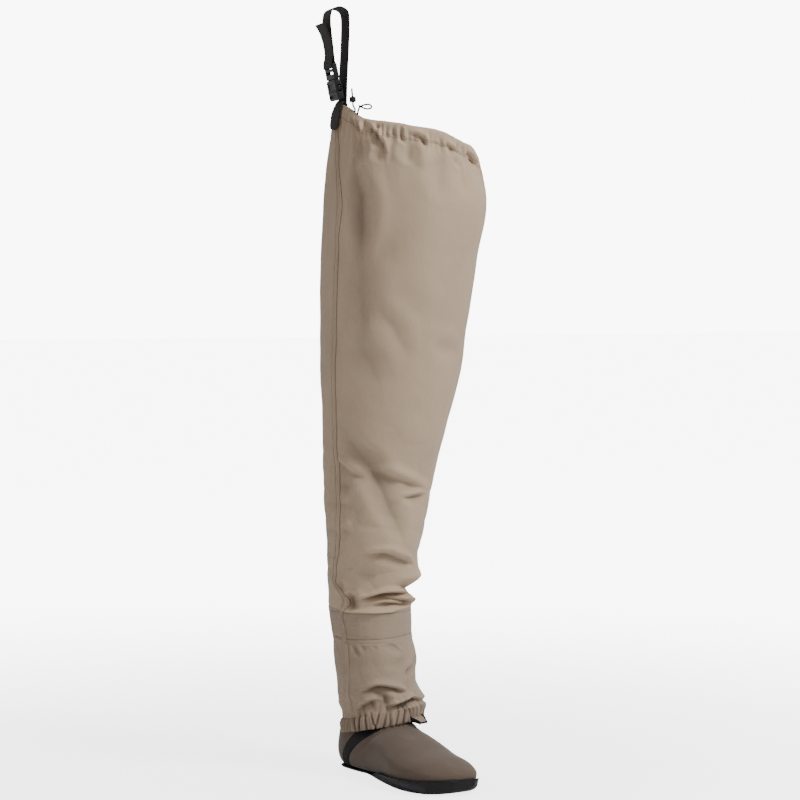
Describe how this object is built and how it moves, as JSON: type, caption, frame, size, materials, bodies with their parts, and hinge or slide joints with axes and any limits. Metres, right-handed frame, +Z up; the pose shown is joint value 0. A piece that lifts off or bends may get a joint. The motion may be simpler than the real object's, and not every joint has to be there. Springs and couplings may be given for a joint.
{
  "type": "hip wader",
  "caption": "Right stocking-foot hip wader: fabric leg with slanting drawcord collar and belt strap, gathered gravel guard, neoprene bootie and thin black sole.",
  "frame": {"origin": "on the floor, in the middle of the heel's flat spot", "axes": "+Z up along the leg, -Y towards the toe, -X towards the outer side of the right leg"},
  "size_m": [0.2353, 0.2937, 1.0356],
  "materials": {
    "leg_fabric": "matte",
    "guard_fabric": "matte",
    "neoprene": "matte",
    "sole_rubber": "satin",
    "tape": "matte",
    "webbing": "matte",
    "buckle_plastic": "satin",
    "elastic_cord": "matte"
  },
  "bodies": {
    "root": {"leg": "leg_fabric", "collar_casing": "leg_fabric", "side_seam": "guard_fabric", "guard_band": "guard_fabric", "gravel_guard": "guard_fabric", "guard_hem": "guard_fabric", "lace_hook": "guard_fabric", "bootie": "neoprene", "sole": "sole_rubber", "seam_tape": "tape", "heel_seam": "tape", "strap_anchor": "webbing", "strap_loop": "webbing", "strap_tail": "webbing", "buckle_socket": "buckle_plastic", "buckle_plug": "buckle_plastic", "drawcord_end": "elastic_cord", "drawcord_loop": "elastic_cord", "cord_lock": "buckle_plastic"}
  },
  "joints": []
}
